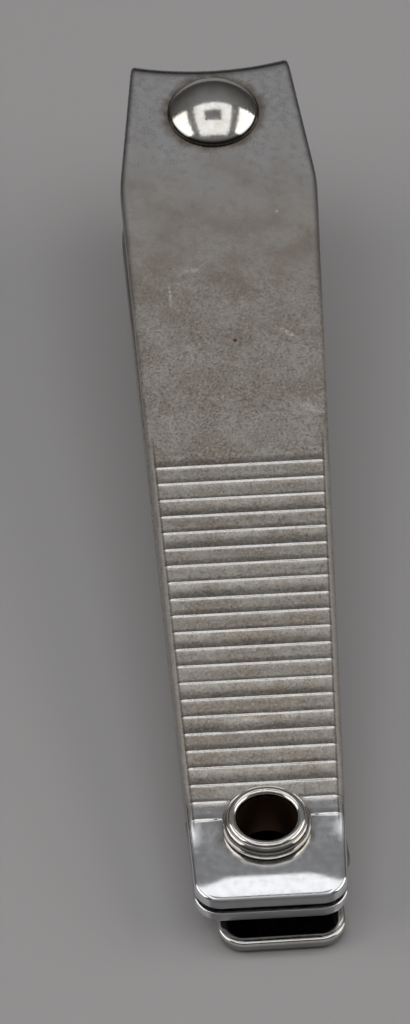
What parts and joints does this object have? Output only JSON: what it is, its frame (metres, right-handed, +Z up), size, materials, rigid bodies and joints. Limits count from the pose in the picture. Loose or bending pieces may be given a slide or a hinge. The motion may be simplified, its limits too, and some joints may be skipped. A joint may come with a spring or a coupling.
{
  "type": "nail clipper",
  "caption": "Large lever nail clipper, stored flat: ribbed spring arm, plain spring arm, hollow eyelet, domed pull post, folding lever and swing-out file.",
  "frame": {"origin": "centre of the bounding box in X and Y, on the surface that the stored clipper lies on with its lever underneath", "axes": "+X from the riveted tail to the cutting edges, +Z up, out of the ribbed arm"},
  "size_m": [0.0834, 0.015, 0.0161],
  "materials": {
    "arm_steel": "worn satin nickel-plated steel with fine scratches, polished bright at the tail",
    "bright_plate": "bright plated steel with a brown tarnish in the corners",
    "lever_steel": "plated pressed steel with a smooth rolled rim",
    "file_steel": "darker steel, cross-cut on both faces"
  },
  "bodies": {
    "clamped_arms": {"ribbed_arm": "arm_steel", "upper_arm_tail": "arm_steel", "eyelet": "bright_plate"},
    "moving_arm": {"upper_arm": "arm_steel"},
    "file": {"nail_file": "file_steel"},
    "pull_post": {"post": "bright_plate"},
    "lever_pin": {"cross_pin": "bright_plate"},
    "press_lever": {"lever": "lever_steel"}
  },
  "joints": [
    {"name": "jaw_close", "type": "hinge", "parent": "clamped_arms", "child": "moving_arm", "pos_m": [-0.01425, 0, 0.0048], "axis": [0, -1, 0], "range_deg": [0, 2.6], "stiffness_Nm_per_rad": 4.7},
    {"name": "file_swing", "type": "hinge", "parent": "clamped_arms", "child": "file", "pos_m": [-0.03379, 0, 0.00366], "axis": [-0.1011, 0, 0.9949], "continuous": true},
    {"name": "post_turn", "type": "hinge", "parent": "clamped_arms", "child": "pull_post", "pos_m": [0.03463, 0, 0.01435], "axis": [-0.1354, 0, 0.9908], "continuous": true},
    {"name": "lever_fold", "type": "hinge", "parent": "pull_post", "child": "lever_pin", "pos_m": [0.03591, 0, 0.005], "axis": [0.0086, -1, 0.0012], "range_deg": [0, 140]},
    {"name": "lever_press", "type": "hinge", "parent": "lever_pin", "child": "press_lever", "pos_m": [0.03591, 0, 0.005], "axis": [0.0086, -1, 0.0012], "range_deg": [0, 33]}
  ],
  "couplings": [
    {"joint": "jaw_close", "follows": "lever_press", "ratio": 0.078787}
  ]
}
